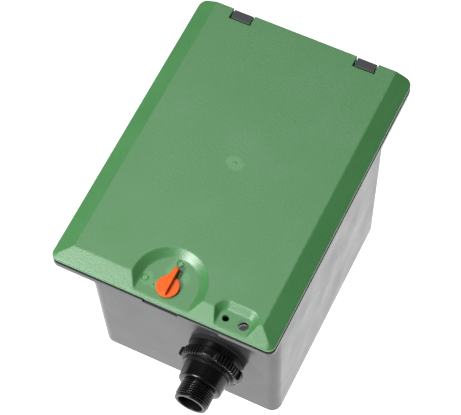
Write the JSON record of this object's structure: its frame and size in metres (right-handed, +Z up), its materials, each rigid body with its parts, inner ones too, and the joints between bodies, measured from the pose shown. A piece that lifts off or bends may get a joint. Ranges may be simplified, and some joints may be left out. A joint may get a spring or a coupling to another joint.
{
  "type": "irrigation valve box",
  "caption": "In-ground irrigation valve box with a hinged lockable lid, telescopic threaded pipe connectors and a battery controlled diaphragm valve inside.",
  "frame": {"origin": "on the ground under the middle of the box's overall length and width", "axes": "+Z up, +Y towards the lid's hinge and the outlet, +X to the right seen from the lock side"},
  "size_m": [0.17, 0.278, 0.1863],
  "materials": {
    "green_plastic": "fine-grained moulded plastic",
    "grey_plastic": "moulded plastic, satin",
    "dark_plastic": "fine-grained moulded plastic",
    "black_plastic": "glossy moulded plastic",
    "orange_plastic": "smooth moulded plastic",
    "white_plastic": "moulded plastic",
    "rubber": "moulded rubber",
    "steel": "stainless steel",
    "board": "lacquered circuit board",
    "battery_case": "lacquered steel can"
  },
  "bodies": {
    "box": {"box_body": "grey_plastic", "hinge_clip_left": "dark_plastic", "hinge_clip_right": "dark_plastic", "inlet_sleeve": "black_plastic", "outlet_sleeve": "black_plastic", "inlet_washer": "rubber", "outlet_washer": "rubber", "inlet_seal": "rubber", "outlet_seal": "rubber", "valve_body": "dark_plastic", "valve_bonnet": "dark_plastic", "bonnet_screws": "steel", "diaphragm": "rubber", "diaphragm_spring": "steel", "solenoid": "black_plastic", "plunger_spring": "steel", "control_housing": "dark_plastic", "control_cover": "dark_plastic", "control_screws": "steel", "circuit_board": "board", "battery": "battery_case"},
    "lid": {"lid": "green_plastic", "hinge_pin_left": "steel", "hinge_pin_right": "steel"},
    "lock": {"lock_knob": "orange_plastic", "lock_bar": "dark_plastic", "lock_screw": "steel"},
    "inlet_nut": {"inlet_nut": "black_plastic"},
    "outlet_nut": {"outlet_nut": "black_plastic"},
    "inlet_tube": {"inlet_tube": "black_plastic", "inlet_oring": "rubber"},
    "outlet_tube": {"outlet_tube": "black_plastic", "outlet_oring": "rubber"},
    "inlet_union_nut": {"inlet_union_nut": "black_plastic"},
    "outlet_union_nut": {"outlet_union_nut": "black_plastic"},
    "diaphragm_disc": {"diaphragm_disc": "white_plastic"},
    "plunger": {"plunger": "steel"},
    "bleed_lever": {"bleed_lever": "black_plastic"},
    "battery_door": {"battery_door": "dark_plastic"},
    "control_button": {"control_button": "orange_plastic"}
  },
  "joints": [
    {"name": "lid_hinge", "type": "hinge", "parent": "box", "child": "lid", "pos_m": [0, 0.114, 0.1815], "axis": [-1, 0, 0], "range_deg": [0, 100]},
    {"name": "lock_turn", "type": "hinge", "parent": "lid", "child": "lock", "pos_m": [0, -0.1045, 0.182], "axis": [0, 0, 1], "range_deg": [0, 90]},
    {"name": "inlet_nut_spin", "type": "hinge", "parent": "box", "child": "inlet_nut", "pos_m": [0.0285, -0.105, 0.079], "axis": [0, -1, 0], "continuous": true},
    {"name": "outlet_nut_spin", "type": "hinge", "parent": "box", "child": "outlet_nut", "pos_m": [0.0285, 0.107, 0.079], "axis": [0, 1, 0], "continuous": true},
    {"name": "inlet_slide", "type": "slide", "parent": "box", "child": "inlet_tube", "axis": [0, -1, 0], "range_m": [-0.005, 0.02]},
    {"name": "outlet_slide", "type": "slide", "parent": "box", "child": "outlet_tube", "axis": [0, 1, 0], "range_m": [-0.005, 0.02]},
    {"name": "inlet_union_spin", "type": "hinge", "parent": "box", "child": "inlet_union_nut", "pos_m": [0.0285, -0.044, 0.079], "axis": [0, -1, 0], "continuous": true},
    {"name": "outlet_union_spin", "type": "hinge", "parent": "box", "child": "outlet_union_nut", "pos_m": [0.0285, 0.044, 0.079], "axis": [0, 1, 0], "continuous": true},
    {"name": "disc_lift", "type": "slide", "parent": "box", "child": "diaphragm_disc", "axis": [0, 0, 1], "range_m": [0, 0.003], "stiffness_N_per_m": 150, "deforming": ["diaphragm_spring", "diaphragm"]},
    {"name": "plunger_lift", "type": "slide", "parent": "box", "child": "plunger", "axis": [0, 0, 1], "range_m": [0, 0.002], "stiffness_N_per_m": 100, "deforming": ["plunger_spring"]},
    {"name": "lever_turn", "type": "hinge", "parent": "box", "child": "bleed_lever", "pos_m": [0.0285, 0, 0.126], "axis": [0, 0, 1], "range_deg": [0, 60]},
    {"name": "button_press", "type": "slide", "parent": "box", "child": "control_button", "axis": [0, 0, -1], "range_m": [0, 0.0015], "stiffness_N_per_m": 400},
    {"name": "door_slide", "type": "slide", "parent": "box", "child": "battery_door", "axis": [-1, 0, 0], "range_m": [0, 0.022]}
  ]
}
